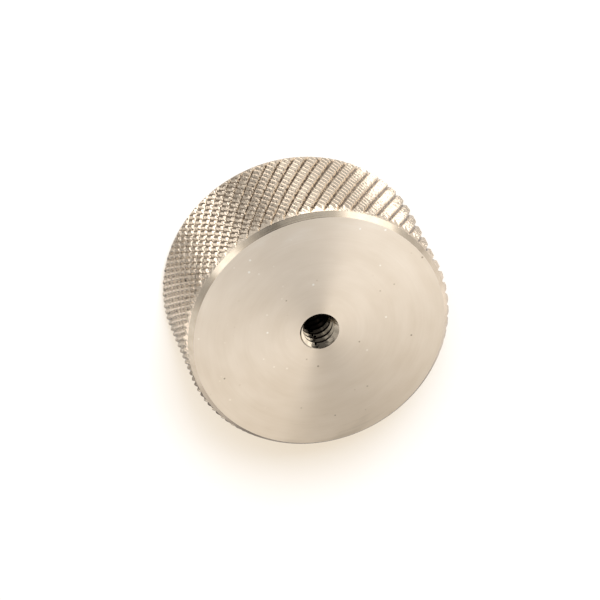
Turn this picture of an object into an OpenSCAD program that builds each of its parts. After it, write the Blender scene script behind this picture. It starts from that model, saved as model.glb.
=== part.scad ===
// Knurled knob, turned from one piece of bar: a diamond-knurled rim between two chamfers,
// a faced front with a blind tapped hole, and a plain back that the knob stands on.
// Millimetres, +Z along the knob's axis, origin at the centre of the plain back face.

/* [Body] */
// Diameter over the crests of the knurl
rim_d = 32.6; // [22:0.1:42]
// Length of the knob along its axis
body_h = 15.4; // [13:0.1:19]
// Width of each chamfer, from the crests in to the flat face
chamfer_w = 0.9; // [0.6:0.1:2]
// Length of each chamfer along the axis
chamfer_h = 1.2; // [0.5:0.1:2]

/* [Knurl] */
// Ridges round the rim, which lean to the right
ridge_n = 61; // [40:1:75]
// Finer cross cuts round the rim, which lean to the left
cut_n = 119; // [60:1:140]
// Lean of the ridges from the axis, in degrees
ridge_lean = 30; // [15:1:40]
// Lean of the cross cuts from the axis, in degrees
cut_lean = 32; // [15:1:40]
// Depth of the grooves between the ridges
groove_depth = 0.35; // [0.2:0.05:0.6]
// Depth of the notches that the cross cuts leave in each ridge
notch_depth = 0.2; // [0.05:0.05:0.4]

/* [Tapped hole] */
// Outside diameter of the thread, and of the countersunk mouth
thread_d = 4.83; // [4:0.01:10]
// Tapping diameter of the hole
tap_d = 3.8; // [2:0.1:4.6]
// Depth of the hole at its full diameter, from the front face
tap_depth = 10.5; // [3:0.5:13]
// Point angle of the drill that leaves the hole's end, in degrees
drill_angle = 118; // [90:1:150]

/* [Hidden] */

rim_r = rim_d / 2;
face_r = rim_r - chamfer_w;
tap_r = tap_d / 2;
mouth_r = thread_d / 2;
// A 90 degree countersink is as deep as it is wide
sink_h = mouth_r - tap_r;
point_h = tap_r / tan(drill_angle / 2);

// The blank's chamfers run on past the crests by this much, so that only they trim the teeth
crest_spare = 0.6;
blank_r = rim_r + crest_spare;
blank_edge = chamfer_h * (blank_r - face_r) / chamfer_w;

// Sides of the turned faces when they are drawn
turned_fn = 120;

// Angle between neighbouring grooves, and their turn for each millimetre along the axis
ridge_turn = 360 / ridge_n;
cut_turn = 360 / cut_n;
ridge_twist = tan(ridge_lean) * 360 / (PI * rim_d);
cut_twist = tan(cut_lean) * 360 / (PI * rim_d);
// Length along the axis from one tooth of a ridge to the next
tooth_h = cut_turn / (ridge_twist + cut_twist);
// Cross cuts passed from one ridge to the next, at most
cut_step = ceil(cut_n / ridge_n);
// Teeth along each ridge, which runs out past both ends of the body
end_teeth = cut_step;
teeth_n = ceil(body_h / tooth_h) + 2 * end_teeth;
// Crossings kept along each groove, which is shared by two ridges
cross_n = teeth_n + cut_step + 1;

// Point on the rim where groove g meets cross cut c: halves lie midway between two
function rim_point(g, c, r) =
    let (
        z = (c * cut_turn - g * ridge_turn) / (ridge_twist + cut_twist),
        turn = g * ridge_turn + z * ridge_twist
    )
    [r * cos(turn), r * sin(turn), z];

// First cross cut of the ridge after groove g, below the back face
function first_cut(g) = floor(g * ridge_turn / cut_turn) - end_teeth;
function last_cut(g) = first_cut(g) + teeth_n;

// Places of the points in the list: crossings, then notches, then crests, then the two hubs
notch_base = ridge_n * cross_n;
crest_base = notch_base + ridge_n * (teeth_n + 1);
low_hub = crest_base + ridge_n * teeth_n;
high_hub = low_hub + 1;
function cross_at(g, c) =
    g == ridge_n ? cross_at(0, c - cut_n) : g * cross_n + c - first_cut(g) + cut_step;
function notch_at(g, c) = notch_base + g * (teeth_n + 1) + c - first_cut(g);
function crest_at(g, c) = crest_base + g * teeth_n + c - first_cut(g);

// A tooth is six facets that rise from the grooves and notches round it to its crest
function tooth(g, c) =
    let (
        top = crest_at(g, c),
        round = [
            cross_at(g, c), notch_at(g, c), cross_at(g + 1, c),
            cross_at(g + 1, c + 1), notch_at(g, c + 1), cross_at(g, c + 1)
        ]
    )
    [for (s = [0 : 5]) [top, round[(s + 1) % 6], round[s]]];

// The ends of ridge g, closed to a hub on the axis, with the steps up to the ridge after it
function low_end(g) =
    let (c = first_cut(g))
    concat(
        [[low_hub, cross_at(g, c), notch_at(g, c)], [low_hub, notch_at(g, c), cross_at(g + 1, c)]],
        [for (k = [c : first_cut(g + 1) - 1]) [low_hub, cross_at(g + 1, k), cross_at(g + 1, k + 1)]]
    );
function high_end(g) =
    let (c = last_cut(g))
    concat(
        [[high_hub, cross_at(g + 1, c), notch_at(g, c)], [high_hub, notch_at(g, c), cross_at(g, c)]],
        [for (k = [c : last_cut(g + 1) - 1]) [high_hub, cross_at(g + 1, k + 1), cross_at(g + 1, k)]]
    );

// Bar with teeth all along it
module knurled_bar() {
    ridges = [0 : ridge_n - 1];
    polyhedron(
        points = concat(
            [
                for (g = ridges) for (c = [first_cut(g) - cut_step : last_cut(g)])
                    rim_point(g, c, rim_r - groove_depth)
            ],
            [
                for (g = ridges) for (c = [first_cut(g) : last_cut(g)])
                    rim_point(g + 0.5, c, rim_r - notch_depth)
            ],
            [
                for (g = ridges) for (c = [first_cut(g) : last_cut(g) - 1])
                    rim_point(g + 0.5, c + 0.5, rim_r)
            ],
            [[0, 0, -end_teeth * tooth_h], [0, 0, body_h + end_teeth * tooth_h]]
        ),
        faces = [
            for (g = ridges) each concat(
                [for (c = [first_cut(g) : last_cut(g) - 1]) each tooth(g, c)],
                low_end(g),
                high_end(g)
            )
        ]
    );
}

// Half section of the blank: flat faces, chamfers, and the hole with its countersink and drill point
module turned_blank() {
    rotate_extrude($fn = turned_fn)
        polygon([
            [0, 0],
            [face_r, 0],
            [blank_r, blank_edge],
            [blank_r, body_h - blank_edge],
            [face_r, body_h],
            [mouth_r, body_h],
            [tap_r, body_h - sink_h],
            [tap_r, body_h - tap_depth],
            [0, body_h - tap_depth - point_h]
        ]);
}

module knob() {
    color("#d8ccba")
        intersection() {
            knurled_bar();
            turned_blank();
        }
}

knob();
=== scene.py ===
import math

import bpy
from mathutils import Matrix, Vector


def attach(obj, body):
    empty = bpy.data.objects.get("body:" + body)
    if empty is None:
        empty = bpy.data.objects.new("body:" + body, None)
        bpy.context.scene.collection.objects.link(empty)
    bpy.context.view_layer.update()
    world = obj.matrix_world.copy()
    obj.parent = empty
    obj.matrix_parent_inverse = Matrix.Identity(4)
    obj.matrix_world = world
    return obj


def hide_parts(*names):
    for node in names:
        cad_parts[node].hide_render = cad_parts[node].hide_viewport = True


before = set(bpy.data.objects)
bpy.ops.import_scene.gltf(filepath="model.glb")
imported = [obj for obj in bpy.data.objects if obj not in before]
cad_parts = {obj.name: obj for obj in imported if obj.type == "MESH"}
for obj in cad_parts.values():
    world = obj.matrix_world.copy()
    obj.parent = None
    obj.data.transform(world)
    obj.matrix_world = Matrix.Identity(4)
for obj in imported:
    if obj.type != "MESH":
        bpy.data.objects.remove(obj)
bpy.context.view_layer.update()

MM = 0.001

# Sizes of the body in millimetres, as the solid has them
RIM_R = 16.3
BODY_H = 15.4
CHAMFER_W = 0.9
FACE_R = RIM_R - CHAMFER_W
TURNED_SIDES = 240

# The knurl runs out towards each end: its crests drop from the rim to a shoulder, where the chamfer starts
SHOULDER_R = 15.93
SHOULDER_H = 0.7
SHOULDER_END = 1.5

# Knurl: ridges that lean to the right and finer cross cuts that lean to the left, in millimetres and degrees
RIDGES = 61
RIDGE_LEAN = 30.0
GROOVE_DEPTH = 0.41
GROOVE_ANGLE = 76.0
CUTS = 119
CUT_LEAN = 32.0
NOTCH_DEPTH = 0.25
NOTCH_ANGLE = 88.0
RIGHT, LEFT = 1, -1

# Tapped hole: a No. 10 coarse thread, in millimetres and degrees
THREAD_R = 2.415
THREAD_PITCH = 1.0583
THREAD_START = 325.0
THREAD_TURNS = 10
TAP_R = 1.9
TAP_DEPTH = 10.5
MOUTH_R = THREAD_R
DRILL_ANGLE = 118.0

# The knob's finishes, in the order of its material slots
KNURL, FACE, CHAMFER, HOLE = range(4)

# Studio round the knob: soft lights, and dark cards where the brightness is below zero. Each row has
# the azimuth and elevation of its middle, the half angles where it starts and ends to fade, in degrees,
# and the brightness that it adds to the plain level.
PLAIN_LEVEL = 0.66
FACE_LIGHTS = [
    (-12, 44, 28, 36, 0.86),
    (0, 30, 8, 20, 0.35),
    (44, 44, 4, 12, 1.4),
    (60, 66, 4, 12, -0.5),
    (100, 44, 28, 36, -0.53),
    (172, 44, 8, 18, -0.5),
]
HOLE_LIGHTS = [
    (74, 26, 4, 10, 0.6),
    (42, 21, 4, 10, -0.6),
    (-151, 15, 6, 14, -0.25),
]
CHAMFER_LIGHTS = [
    (52, 5, 10, 24, 1.2),
    (98, 12, 6, 16, 0.25),
    (124, 14, 4, 12, -0.25),
    (156, 10, 6, 16, 1.0),
    (181, 4, 4, 14, -0.2),
    (-140, -5, 10, 35, 0.25),
    (-90, -31, 4, 12, -0.1),
    (-8, -16, 8, 25, 0.3),
    (-28, -27, 8, 22, 0.2),
]
KNURL_LIGHTS = [
    (-70, -43, 10, 26, -0.3),
    (18, -60, 12, 26, 0.95),
    (30, -28, 8, 20, 0.15),
    (58, -24, 5, 18, -0.25),
    (85, -15, 7, 20, 1.8),
    (116, -17, 4, 10, -0.25),
    (91, -58, 6, 20, 1.2),
    (160, -58, 12, 38, -0.45),
    (180, -20, 6, 22, -0.25),
    (152, -16, 6, 15, 0.3),
    (-146, -26, 7, 17, 0.5),
    (-121, -34, 6, 16, -0.45),
    (-96, -42, 6, 15, -0.35),
    (-115, -61, 6, 14, 0.4),
]

# Lamps and floor, in metres
SOFTBOX_W = 0.2
SOFTBOX_AWAY = 0.6
FLOOR_W = 6
FLOOR_DROP = 0.02 * MM

# Camera with a long lens, 31.9 degrees off the knob's axis and rolled so that the near rim is at the top
CAMERA_LENS = 300
CAMERA_PLACE = Vector((-155.577, 278.931, 520.056)) * MM
CAMERA_FORWARD = Vector((0.25670, -0.46202, -0.84891)).normalized()
CAMERA_UP = Vector((0, 0.87834, -0.47804))


# Modelling helpers

def work_on(obj):
    """Select one object alone and make it the active one."""
    bpy.ops.object.select_all(action="DESELECT")
    obj.select_set(True)
    bpy.context.view_layer.objects.active = obj


def edit(obj):
    """Open one object in edit mode with all of it selected."""
    work_on(obj)
    bpy.ops.object.mode_set(mode="EDIT")
    bpy.ops.mesh.select_all(action="SELECT")


def draw_wire(name, corners, closed=False):
    """Draw a wire by extruding one point from corner to corner, and fill it if it is closed."""
    bpy.ops.object.select_all(action="DESELECT")
    bpy.ops.mesh.primitive_plane_add(size=MM, location=(0, 0, 0))
    wire = bpy.context.object
    wire.name = name
    bpy.ops.object.mode_set(mode="EDIT")
    bpy.ops.mesh.select_mode(type="VERT")
    bpy.ops.mesh.select_all(action="SELECT")
    bpy.ops.mesh.merge(type="CENTER")
    points = [Vector(corner) * MM for corner in corners]
    bpy.ops.transform.translate(value=points[0])
    for start, end in zip(points, points[1:]):
        bpy.ops.mesh.extrude_region_move(TRANSFORM_OT_translate={"value": end - start})
    if closed:
        bpy.ops.mesh.select_all(action="SELECT")
        bpy.ops.mesh.edge_face_add()
    bpy.ops.object.mode_set(mode="OBJECT")
    return wire


def cut_away(body, tool, label):
    """Cut a tool's shape out of the body and throw the tool away."""
    work_on(body)
    cut = body.modifiers.new(label, "BOOLEAN")
    cut.operation = "DIFFERENCE"
    cut.solver = "MANIFOLD"
    cut.object = tool
    bpy.ops.object.modifier_apply(modifier=label)
    bpy.data.objects.remove(tool, do_unlink=True)


# Turned blank

def turned_blank():
    """The bar turned, faced, chamfered and drilled: one half section spun round the axis."""
    sink_h = MOUTH_R - TAP_R
    point_h = TAP_R / math.tan(math.radians(DRILL_ANGLE / 2))
    half_section = [
        (0, 0, 0),
        (FACE_R, 0, 0),
        (SHOULDER_R, 0, SHOULDER_H),
        (RIM_R, 0, SHOULDER_END),
        (RIM_R, 0, BODY_H - SHOULDER_END),
        (SHOULDER_R, 0, BODY_H - SHOULDER_H),
        (FACE_R, 0, BODY_H),
        (MOUTH_R, 0, BODY_H),
        (TAP_R, 0, BODY_H - sink_h),
        (TAP_R, 0, BODY_H - TAP_DEPTH),
        (0, 0, BODY_H - TAP_DEPTH - point_h),
    ]
    blank = draw_wire("knob_body", half_section)
    edit(blank)
    bpy.ops.mesh.spin(steps=TURNED_SIDES, angle=math.tau, center=(0, 0, 0), axis=(0, 0, 1))
    bpy.ops.mesh.select_all(action="SELECT")
    bpy.ops.mesh.remove_doubles(threshold=1e-7)
    bpy.ops.mesh.normals_make_consistent(inside=False)
    bpy.ops.object.mode_set(mode="OBJECT")
    return blank


# Knurl

def groove_cutters(name, count, lean, depth, angle, hand):
    """One twisted V bar with flared lips, spun into as many copies as the rim has grooves."""
    half_flat = 0.03
    lip = 0.03
    spare = 1
    bends = 14
    slope = math.tan(math.radians(angle / 2)) / math.cos(math.radians(lean))
    wide = half_flat + (depth - lip) * slope
    flared = wide + 3 * lip
    section = [
        (RIM_R - depth, half_flat, -spare),
        (RIM_R - lip, wide, -spare),
        (RIM_R + lip, flared, -spare),
        (RIM_R + spare, flared, -spare),
        (RIM_R + spare, -flared, -spare),
        (RIM_R + lip, -flared, -spare),
        (RIM_R - lip, -wide, -spare),
        (RIM_R - depth, -half_flat, -spare),
    ]
    bar = draw_wire(name, section, closed=True)
    length = BODY_H + 2 * spare
    edit(bar)
    for _ in range(bends):
        bpy.ops.mesh.extrude_region_move(TRANSFORM_OT_translate={"value": (0, 0, length * MM / bends)})
    bpy.ops.object.mode_set(mode="OBJECT")
    twist = bar.modifiers.new("twist", "SIMPLE_DEFORM")
    twist.deform_method = "TWIST"
    twist.deform_axis = "Z"
    twist.angle = hand * math.tan(math.radians(lean)) * length / RIM_R
    bpy.ops.object.modifier_apply(modifier="twist")
    edit(bar)
    bpy.ops.mesh.normals_make_consistent(inside=False)
    bpy.ops.mesh.spin(steps=count - 1, dupli=True, angle=math.tau * (count - 1) / count,
                      center=(0, 0, 0), axis=(0, 0, 1))
    bpy.ops.object.mode_set(mode="OBJECT")
    return bar


# Thread

def thread_cutter():
    """The tap's cut: a V section wound up the hole by the Screw modifier, out past the front face."""
    overlap = 0.15
    short_of_end = 1.0
    flank_angle = 30
    steps = 40
    half_crest = THREAD_PITCH / 16
    inner_r = TAP_R - overlap
    half_wide = (THREAD_R - inner_r) * math.tan(math.radians(flank_angle)) + half_crest
    low = BODY_H - TAP_DEPTH + short_of_end
    section = [
        (THREAD_R, 0, low + half_crest),
        (inner_r, 0, low + half_wide),
        (inner_r, 0, low - half_wide),
        (THREAD_R, 0, low - half_crest),
    ]
    tap = draw_wire("tap", section, closed=True)
    edit(tap)
    bpy.ops.mesh.delete(type="ONLY_FACE")
    bpy.ops.object.mode_set(mode="OBJECT")
    screw = tap.modifiers.new("screw", "SCREW")
    screw.axis = "Z"
    screw.angle = math.tau
    screw.screw_offset = THREAD_PITCH * MM
    screw.iterations = THREAD_TURNS
    screw.steps = steps
    screw.render_steps = steps
    screw.use_merge_vertices = False
    bpy.ops.object.modifier_apply(modifier="screw")
    edit(tap)
    bpy.ops.mesh.fill_holes(sides=0)
    bpy.ops.mesh.normals_make_consistent(inside=False)
    bpy.ops.object.mode_set(mode="OBJECT")
    turns_to_face = (BODY_H - low) / THREAD_PITCH
    tap.rotation_euler = (0, 0, math.radians(THREAD_START) - turns_to_face * math.tau)
    bpy.ops.object.transform_apply(location=False, rotation=True, scale=False)
    return tap


# Materials

def linear(hex_code):
    """An sRGB hex colour as linear RGBA."""
    parts = [int(hex_code[i:i + 2], 16) / 255 for i in (1, 3, 5)]
    return [c / 12.92 if c <= 0.04045 else ((c + 0.055) / 1.055) ** 2.4 for c in parts] + [1]


def add(tree, kind, settings=None, links=None, stops=()):
    """Add one node. Settings go to its sockets or properties, and links come from other nodes' outputs.
    Stops are a colour ramp's places and hex colours, in order."""
    node = tree.nodes.new(kind)
    for name, value in (settings or {}).items():
        if isinstance(name, int) or name in node.inputs:
            node.inputs[name].default_value = value
        else:
            setattr(node, name, value)
    for name, source in (links or {}).items():
        tree.links.new(source, node.inputs[name])
    for i, (position, colour) in enumerate(stops):
        stop = node.color_ramp.elements[i] if i < 2 else node.color_ramp.elements.new(position)
        stop.position = position
        stop.color = linear(colour)
    return node


def new_material(name):
    """An empty material and its node tree."""
    material = bpy.data.materials.new(name)
    material.use_nodes = True
    material.node_tree.nodes.clear()
    return material, material.node_tree


def faced_steel():
    """Steel faced on a lathe: a warm satin fan round the axis, over fine rings, faint stains and pits."""
    # The tool's real rings are about 0.1 mm apart and would not show, so they are drawn coarser
    ring_w = 0.35 * MM
    ring_depth = 0.004 * MM
    ring_share = 0.08
    material, tree = new_material("faced_steel")
    place = add(tree, "ShaderNodeTexCoord")
    flat = add(tree, "ShaderNodeVectorMath", {"operation": "MULTIPLY", 1: (1, 1, 0)},
               {0: place.outputs["Object"]})
    radius = add(tree, "ShaderNodeVectorMath", {"operation": "LENGTH"}, {0: flat.outputs[0]})
    rings = add(tree, "ShaderNodeTexNoise",
                {"noise_dimensions": "1D", "Scale": 1 / ring_w, "Detail": 3, "Roughness": 0.7},
                {"W": radius.outputs["Value"]})
    bump = add(tree, "ShaderNodeBump", {"Strength": 0.15, "Distance": ring_depth},
               {"Height": rings.outputs["Fac"]})

    # Painted shade: the colour darkens towards one side of the face, where the light falls less
    painted_shade_side = math.radians(285)
    painted_shade_reach = 14 * MM
    across = add(tree, "ShaderNodeVectorMath",
                 {"operation": "DOT_PRODUCT", 1: (math.cos(painted_shade_side), math.sin(painted_shade_side), 0)},
                 {0: flat.outputs[0]})
    side_shade = add(tree, "ShaderNodeMapRange",
                 {"From Min": painted_shade_reach, "From Max": -painted_shade_reach, "To Min": 0.08, "To Max": 0.48},
                 {"Value": across.outputs["Value"]})

    # Stains change faster outwards than along the rings, so they lie in arcs
    stain_w = 5 * MM
    stain_share = 0.36
    squeeze = 2.5
    outward = add(tree, "ShaderNodeMath", {"operation": "MULTIPLY", 1: squeeze},
                  {0: radius.outputs["Value"]})
    plane = add(tree, "ShaderNodeSeparateXYZ", None, {0: place.outputs["Object"]})
    arcs = add(tree, "ShaderNodeCombineXYZ", None,
               {0: plane.outputs["X"], 1: plane.outputs["Y"], 2: outward.outputs[0]})
    stains = add(tree, "ShaderNodeTexNoise", {"Scale": 1 / stain_w, "Detail": 2, "Roughness": 0.5},
                 {"Vector": arcs.outputs[0]})
    stained = add(tree, "ShaderNodeMath", {"operation": "MULTIPLY_ADD", 1: stain_share},
                  {0: stains.outputs["Fac"], 2: side_shade.outputs[0]})
    ringed = add(tree, "ShaderNodeMath", {"operation": "MULTIPLY_ADD", 1: ring_share},
                 {0: rings.outputs["Fac"], 2: stained.outputs[0]})

    # Small pits, some dark with dirt and some bright, as wide at rim and floor as these shares of their gap
    pit_gap = 1.6 * MM
    pit_rim, pit_floor = 0.11, 0.06
    pits = add(tree, "ShaderNodeTexVoronoi", {"Scale": 1 / pit_gap}, {"Vector": place.outputs["Object"]})
    pit = add(tree, "ShaderNodeMapRange", {"From Min": pit_rim, "From Max": pit_floor},
              {"Value": pits.outputs["Distance"]})
    chance = add(tree, "ShaderNodeSeparateColor", None, {0: pits.outputs["Color"]})
    shade = add(tree, "ShaderNodeMapRange", {"To Min": -0.55, "To Max": 0.45}, {"Value": chance.outputs[0]})
    pitted = add(tree, "ShaderNodeMath", {"operation": "MULTIPLY_ADD", "use_clamp": True},
                 {0: pit.outputs[0], 1: shade.outputs[0], 2: ringed.outputs[0]})
    tone = add(tree, "ShaderNodeValToRGB", None, {"Fac": pitted.outputs[0]},
               ((0, "#857866"), (0.3, "#d9c8b2"), (0.7, "#ecdecc"), (1, "#fdf5ea")))

    # The rings spread a light across them, which draws the fan
    tangent = add(tree, "ShaderNodeTangent", {"direction_type": "RADIAL", "axis": "Z"})
    shader = add(tree, "ShaderNodeBsdfPrincipled",
                 {"Metallic": 1, "Roughness": 0.36, "Anisotropic": 0.9, "Anisotropic Rotation": 0.25},
                 {"Base Color": tone.outputs["Color"], "Normal": bump.outputs["Normal"],
                  "Tangent": tangent.outputs[0]})
    add(tree, "ShaderNodeOutputMaterial", None, {"Surface": shader.outputs[0]})
    return material


def knurled_steel():
    """Steel pressed by knurling wheels: bright dented teeth that glint, over painted shade that darkens the
    grooves brown.
    """
    material, tree = new_material("knurled_steel")
    place = add(tree, "ShaderNodeTexCoord")

    # Depth of a point under the crests, which drop towards both ends
    flat = add(tree, "ShaderNodeVectorMath", {"operation": "MULTIPLY", 1: (1, 1, 0)},
               {0: place.outputs["Object"]})
    radius = add(tree, "ShaderNodeVectorMath", {"operation": "LENGTH"}, {0: flat.outputs[0]})
    axis = add(tree, "ShaderNodeSeparateXYZ", None, {0: place.outputs["Object"]})
    from_middle = add(tree, "ShaderNodeMath", {"operation": "SUBTRACT", 1: BODY_H / 2 * MM},
                      {0: axis.outputs["Z"]})
    to_end = add(tree, "ShaderNodeMath", {"operation": "ABSOLUTE"}, {0: from_middle.outputs[0]})
    crest = add(tree, "ShaderNodeMapRange",
                {"From Min": (BODY_H / 2 - SHOULDER_END) * MM, "From Max": (BODY_H / 2 - SHOULDER_H) * MM,
                 "To Min": RIM_R * MM, "To Max": SHOULDER_R * MM},
                {"Value": to_end.outputs[0]})
    depth = add(tree, "ShaderNodeMath", {"operation": "SUBTRACT"},
                {0: crest.outputs[0], 1: radius.outputs["Value"]})

    # Painted shade darkens the colour deeper in the grooves, with a ragged edge where the teeth are torn
    torn_w = 0.25 * MM
    torn_reach = 0.9 * MM
    torn = add(tree, "ShaderNodeTexNoise", {"Scale": 1 / torn_w, "Detail": 2, "Roughness": 0.6},
               {"Vector": place.outputs["Object"]})
    ragged = add(tree, "ShaderNodeMath", {"operation": "MULTIPLY_ADD", 1: torn_reach},
                 {0: torn.outputs["Fac"], 2: depth.outputs[0]})
    groove_shade = add(tree, "ShaderNodeMapRange",
               {"From Min": torn_reach / 2, "From Max": GROOVE_DEPTH * MM + torn_reach / 2},
               {"Value": ragged.outputs[0]})
    tone = add(tree, "ShaderNodeValToRGB", None, {"Fac": groove_shade.outputs[0]},
               ((0.45, "#eee0cc"), (0.68, "#cfc2af"), (0.9, "#64574a")))

    dent_w = 0.3 * MM
    dent_depth = 0.07 * MM
    dents = add(tree, "ShaderNodeTexNoise", {"Scale": 1 / dent_w, "Detail": 2, "Roughness": 0.5},
                {"Vector": place.outputs["Object"]})
    bump = add(tree, "ShaderNodeBump", {"Strength": 1, "Distance": dent_depth},
               {"Height": dents.outputs["Fac"]})
    shader = add(tree, "ShaderNodeBsdfPrincipled", {"Metallic": 1, "Roughness": 0.18},
                 {"Base Color": tone.outputs["Color"], "Normal": bump.outputs["Normal"]})
    add(tree, "ShaderNodeOutputMaterial", None, {"Surface": shader.outputs[0]})
    return material


def chamfer_steel():
    """Steel edges broken on the lathe: a smooth bright ring, a little cloudy, with faint turned lines."""
    line_w = 0.12 * MM
    line_depth = 0.01 * MM
    cloud_w = 1.5 * MM
    material, tree = new_material("chamfer_steel")
    place = add(tree, "ShaderNodeTexCoord")
    axis = add(tree, "ShaderNodeSeparateXYZ", None, {0: place.outputs["Object"]})
    lines = add(tree, "ShaderNodeTexNoise",
                {"noise_dimensions": "1D", "Scale": 1 / line_w, "Detail": 2, "Roughness": 0.6},
                {"W": axis.outputs["Z"]})
    bump = add(tree, "ShaderNodeBump", {"Strength": 0.6, "Distance": line_depth},
               {"Height": lines.outputs["Fac"]})
    cloud = add(tree, "ShaderNodeTexNoise", {"Scale": 1 / cloud_w, "Detail": 3, "Roughness": 0.6},
                {"Vector": place.outputs["Object"]})
    tone = add(tree, "ShaderNodeValToRGB", None, {"Fac": cloud.outputs["Fac"]},
               ((0.3, "#d8c8b2"), (0.7, "#e6d8c4")))
    shader = add(tree, "ShaderNodeBsdfPrincipled", {"Metallic": 1, "Roughness": 0.18},
                 {"Base Color": tone.outputs["Color"], "Normal": bump.outputs["Normal"]})
    add(tree, "ShaderNodeOutputMaterial", None, {"Surface": shader.outputs[0]})
    return material


def tapped_steel():
    """Steel cut by a tap: bright flanks that glint near the mouth, and a colour that darkens further in as
    painted shade.
    """
    cloud_w = 0.6 * MM
    cloud_depth = 0.03 * MM
    ragged_reach = 0.3 * MM
    painted_shade_depth = 5 * MM
    material, tree = new_material("tapped_steel")
    place = add(tree, "ShaderNodeTexCoord")
    axis = add(tree, "ShaderNodeSeparateXYZ", None, {0: place.outputs["Object"]})
    cloud = add(tree, "ShaderNodeTexNoise", {"Scale": 1 / cloud_w, "Detail": 2, "Roughness": 0.5},
                {"Vector": place.outputs["Object"]})
    # Painted shade: the colour darkens with depth into the hole, with a ragged edge from noise
    ragged = add(tree, "ShaderNodeMath", {"operation": "MULTIPLY_ADD", 1: ragged_reach},
                 {0: cloud.outputs["Fac"], 2: axis.outputs["Z"]})
    top = BODY_H * MM + ragged_reach / 2
    depth = add(tree, "ShaderNodeMapRange", {"From Min": top, "From Max": top - painted_shade_depth},
                {"Value": ragged.outputs[0]})
    tone = add(tree, "ShaderNodeValToRGB", None, {"Fac": depth.outputs[0]},
               ((0.07, "#c2b5a2"), (0.09, "#c8bba7"), (0.5, "#a89b87"), (0.78, "#2c251f"), (0.95, "#1c1713")))
    bump = add(tree, "ShaderNodeBump", {"Strength": 1, "Distance": cloud_depth},
               {"Height": cloud.outputs["Fac"]})
    shader = add(tree, "ShaderNodeBsdfPrincipled", {"Metallic": 1, "Roughness": 0.16},
                 {"Base Color": tone.outputs["Color"], "Normal": bump.outputs["Normal"]})
    add(tree, "ShaderNodeOutputMaterial", None, {"Surface": shader.outputs[0]})
    return material


def white_paper():
    """White paper for the floor: white where the lamps reach it, with a faint cream shadow by the knob."""
    # Most of what the camera sees is the paper's own glow, and the grey adds the lamps' share
    material, tree = new_material("white_paper")
    path = add(tree, "ShaderNodeLightPath")
    matte = add(tree, "ShaderNodeBsdfDiffuse", {"Color": linear("#464d56")})
    glow = add(tree, "ShaderNodeEmission", {"Color": linear("#e2d2ba")},
               {"Strength": path.outputs["Is Camera Ray"]})
    both = add(tree, "ShaderNodeAddShader", None, {0: matte.outputs[0], 1: glow.outputs[0]})
    add(tree, "ShaderNodeOutputMaterial", None, {"Surface": both.outputs[0]})
    return material


def finish_of(facet):
    """The finish of one facet of the knob, from where it is and which way it looks."""
    back_spare, mouth_spare = 1, 0.01
    level = 0.99
    chamfer_up, chamfer_out, slack = 0.6, 0.8, 0.02
    centre, normal = facet.center / MM, facet.normal
    radius = math.hypot(centre.x, centre.y)
    if radius < MOUTH_R + mouth_spare and centre.z > back_spare:
        return HOLE
    if abs(normal.z) > level:
        return FACE
    outward = (normal.x * centre.x + normal.y * centre.y) / radius
    sloped = abs(abs(normal.z) - chamfer_up) < slack
    turned = abs(math.hypot(normal.x, normal.y) - chamfer_out) < slack
    if sloped and turned and abs(outward - chamfer_out) < slack:
        return CHAMFER
    return KNURL


# Light

def toward(azimuth, elevation):
    """The direction at an azimuth and an elevation in degrees."""
    turn, rise = math.radians(azimuth), math.radians(elevation)
    return Vector((math.cos(rise) * math.cos(turn), math.cos(rise) * math.sin(turn), math.sin(rise)))


def studio():
    """A plain white world, in which metal mirrors soft lights and dark cards."""
    world = bpy.data.worlds.new("studio")
    world.use_nodes = True
    tree = world.node_tree
    tree.nodes.clear()
    place = add(tree, "ShaderNodeTexCoord")
    lights = []
    rows = FACE_LIGHTS + HOLE_LIGHTS + CHAMFER_LIGHTS + KNURL_LIGHTS
    for azimuth, elevation, inner, outer, brightness in rows:
        near = add(tree, "ShaderNodeVectorMath", {"operation": "DOT_PRODUCT", 1: toward(azimuth, elevation)},
                   {0: place.outputs["Generated"]})
        light = add(tree, "ShaderNodeMapRange",
                    {"interpolation_type": "SMOOTHSTEP", "From Min": math.cos(math.radians(outer)),
                     "From Max": math.cos(math.radians(inner)), "To Min": 0, "To Max": brightness},
                    {"Value": near.outputs["Value"]})
        lights.append(light)
    level = add(tree, "ShaderNodeMath", {"operation": "ADD", 1: PLAIN_LEVEL}, {0: lights[0].outputs[0]})
    for light in lights[1:]:
        level = add(tree, "ShaderNodeMath", {"operation": "ADD"}, {0: level.outputs[0], 1: light.outputs[0]})

    # The paper throws a slightly warm light back up, so the directions below the knob are tinted
    height = add(tree, "ShaderNodeSeparateXYZ", None, {0: place.outputs["Generated"]})
    below = add(tree, "ShaderNodeMapRange", {"From Min": 0.1, "From Max": -0.9},
                {"Value": height.outputs["Z"]})
    bounce = add(tree, "ShaderNodeValToRGB", None, {"Fac": below.outputs[0]},
                 ((0, "#ffffff"), (0.4, "#fffbf9"), (1, "#fff6ee")))
    mirrored = add(tree, "ShaderNodeBackground", None,
                   {"Color": bounce.outputs["Color"], "Strength": level.outputs[0]})
    white = add(tree, "ShaderNodeBackground", {"Color": linear("#ffffff"), "Strength": 1})
    path = add(tree, "ShaderNodeLightPath")
    seen = add(tree, "ShaderNodeMixShader", None,
               {0: path.outputs["Is Glossy Ray"], 1: white.outputs[0], 2: mirrored.outputs[0]})
    add(tree, "ShaderNodeOutputWorld", None, {"Surface": seen.outputs[0]})
    return world


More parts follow.
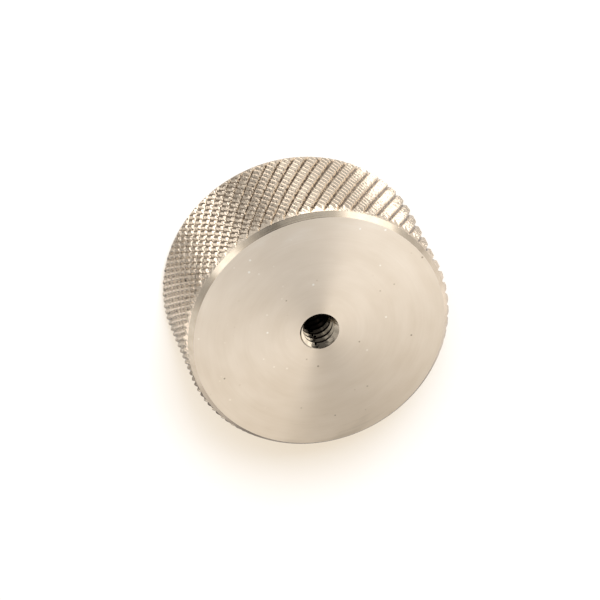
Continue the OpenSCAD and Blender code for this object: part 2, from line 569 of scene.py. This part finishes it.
def softbox(name, azimuth, elevation, watts):
    """A square lamp that faces the knob and is there for the floor's shadow alone."""
    data = bpy.data.lights.new(name, "AREA")
    data.energy = watts
    data.size = SOFTBOX_W
    lamp = bpy.data.objects.new(name, data)
    bpy.context.scene.collection.objects.link(lamp)
    lamp.location = toward(azimuth, elevation) * SOFTBOX_AWAY
    lamp.rotation_euler = (-lamp.location).to_track_quat("-Z", "Y").to_euler()
    lamp.visible_camera = False
    lamp.visible_glossy = False


# The knob: the blank, cut by the knurl's grooves and the tap

knob = turned_blank()
ridge_cutters = groove_cutters("ridge_cutters", RIDGES, RIDGE_LEAN, GROOVE_DEPTH, GROOVE_ANGLE, RIGHT)
cut_away(knob, ridge_cutters, "ridges")
cross_cutters = groove_cutters("cross_cutters", CUTS, CUT_LEAN, NOTCH_DEPTH, NOTCH_ANGLE, LEFT)
cut_away(knob, cross_cutters, "cross cuts")
cut_away(knob, thread_cutter(), "thread")

# Smooths the thread and the turned faces, and keeps the edges of the teeth, chamfers and shoulders
bpy.ops.object.shade_smooth_by_angle(angle=math.radians(10))

knob.data.materials.clear()
for finish in (knurled_steel(), faced_steel(), chamfer_steel(), tapped_steel()):
    knob.data.materials.append(finish)
for facet in knob.data.polygons:
    facet.material_index = finish_of(facet)
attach(knob, "root")
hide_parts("knob")

# Floor, a hair below the knob's back. The metal mirrors the studio and not the floor.

bpy.ops.object.select_all(action="DESELECT")
bpy.ops.mesh.primitive_plane_add(size=FLOOR_W, location=(0, 0, -FLOOR_DROP))
floor = bpy.context.object
floor.name = "floor"
floor.visible_glossy = False
floor.data.materials.append(white_paper())

# Light and camera

bpy.context.scene.world = studio()
softbox("softbox_right", 100, 48, 19)
softbox("softbox_left", 120, 48, 8.5)

camera_data = bpy.data.cameras.new("camera")
camera_data.lens = CAMERA_LENS
camera = bpy.data.objects.new("camera", camera_data)
bpy.context.scene.collection.objects.link(camera)
camera_right = CAMERA_FORWARD.cross(CAMERA_UP).normalized()
camera_top = camera_right.cross(CAMERA_FORWARD)
camera_turn = Matrix((camera_right, camera_top, -CAMERA_FORWARD)).transposed().to_4x4()
camera.matrix_world = Matrix.Translation(CAMERA_PLACE) @ camera_turn
bpy.context.scene.camera = camera
bpy.context.scene.view_settings.view_transform = "Standard"
